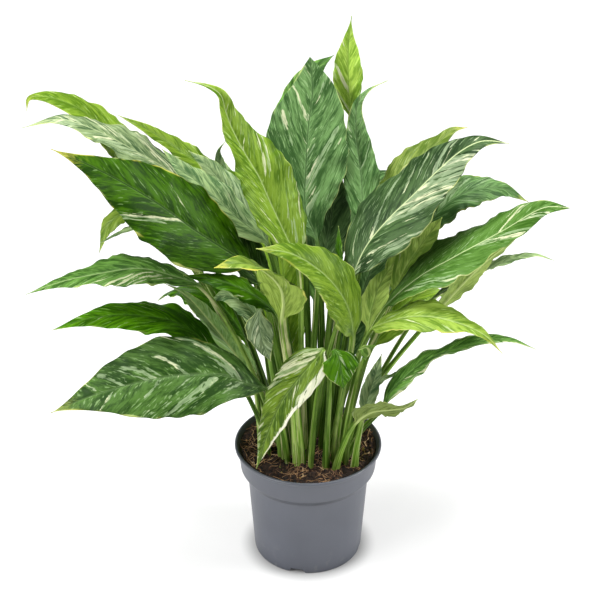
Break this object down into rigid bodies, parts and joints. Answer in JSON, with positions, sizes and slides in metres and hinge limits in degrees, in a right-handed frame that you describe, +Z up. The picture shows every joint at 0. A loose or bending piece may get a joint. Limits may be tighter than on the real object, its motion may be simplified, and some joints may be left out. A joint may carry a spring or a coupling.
{
  "type": "potted peace lily",
  "caption": "Variegated peace lily: arching pointed leaves, streaked cream on green, on upright stalks that rise from the soil of a tapered nursery pot.",
  "frame": {"origin": "centre of the pot's foot, on the ground", "axes": "+Z up; -Y is the side seen in the picture; +X is to the right in it"},
  "size_m": [0.4123, 0.2701, 0.4391],
  "materials": {
    "pot_plastic": "moulded slate grey plastic, satin",
    "soil": "dark peat with tan coir fibres, rough",
    "leaf_deep": "deep green leaf with cream streaks, satin",
    "leaf_fresh": "young yellow-green leaf with cream streaks, satin",
    "leaf_silver": "grey-green leaf marbled with cream, satin",
    "leaf_olive": "pale olive underside of a leaf, matte"
  },
  "bodies": {
    "root": {"pot": "pot_plastic", "soil": "soil", "leaf_centre_tall": "leaf_deep", "leaf_top_young": "leaf_fresh", "leaf_centre_right": "leaf_deep", "leaf_centre_left": "leaf_fresh", "leaf_behind_tall": "leaf_deep", "leaf_centre_inner": "leaf_deep", "leaf_right_striped": "leaf_deep", "leaf_right_upper": "leaf_fresh", "leaf_right_dark": "leaf_deep", "leaf_right_long": "leaf_fresh", "leaf_right_under": "leaf_olive", "leaf_right_thin": "leaf_deep", "leaf_right_bright": "leaf_fresh", "leaf_right_low_twisted": "leaf_deep", "leaf_right_low_pale": "leaf_olive", "leaf_right_olive": "leaf_olive", "leaf_right_inner": "leaf_olive", "leaf_right_silver": "leaf_silver", "leaf_front_arched": "leaf_fresh", "leaf_front_hooded": "leaf_fresh", "leaf_front_drooping": "leaf_deep", "leaf_front_small": "leaf_deep", "leaf_front_curl": "leaf_deep", "leaf_left_top": "leaf_fresh", "leaf_left_silver": "leaf_silver", "leaf_left_big": "leaf_deep", "leaf_left_inner": "leaf_silver", "leaf_left_twisted": "leaf_fresh", "leaf_left_blue": "leaf_silver", "leaf_left_curled": "leaf_silver", "leaf_left_small": "leaf_fresh", "leaf_left_spike": "leaf_deep", "leaf_left_level": "leaf_deep", "leaf_left_lower": "leaf_deep", "leaf_left_low_big": "leaf_deep", "leaf_left_underside": "leaf_olive", "leaf_left_hanging": "leaf_silver", "leaf_left_shadow": "leaf_deep", "leaf_left_pale": "leaf_silver", "leaf_far_left": "leaf_deep", "leaf_far_right": "leaf_deep", "leaf_far_middle": "leaf_deep", "leaf_far_left_low": "leaf_deep", "leaf_far_right_low": "leaf_fresh", "leaf_far_right_high": "leaf_deep", "leaf_far_left_high": "leaf_fresh", "leaf_inner_back": "leaf_deep", "leaf_inner_left": "leaf_deep", "leaf_inner_right": "leaf_silver"}
  },
  "joints": []
}
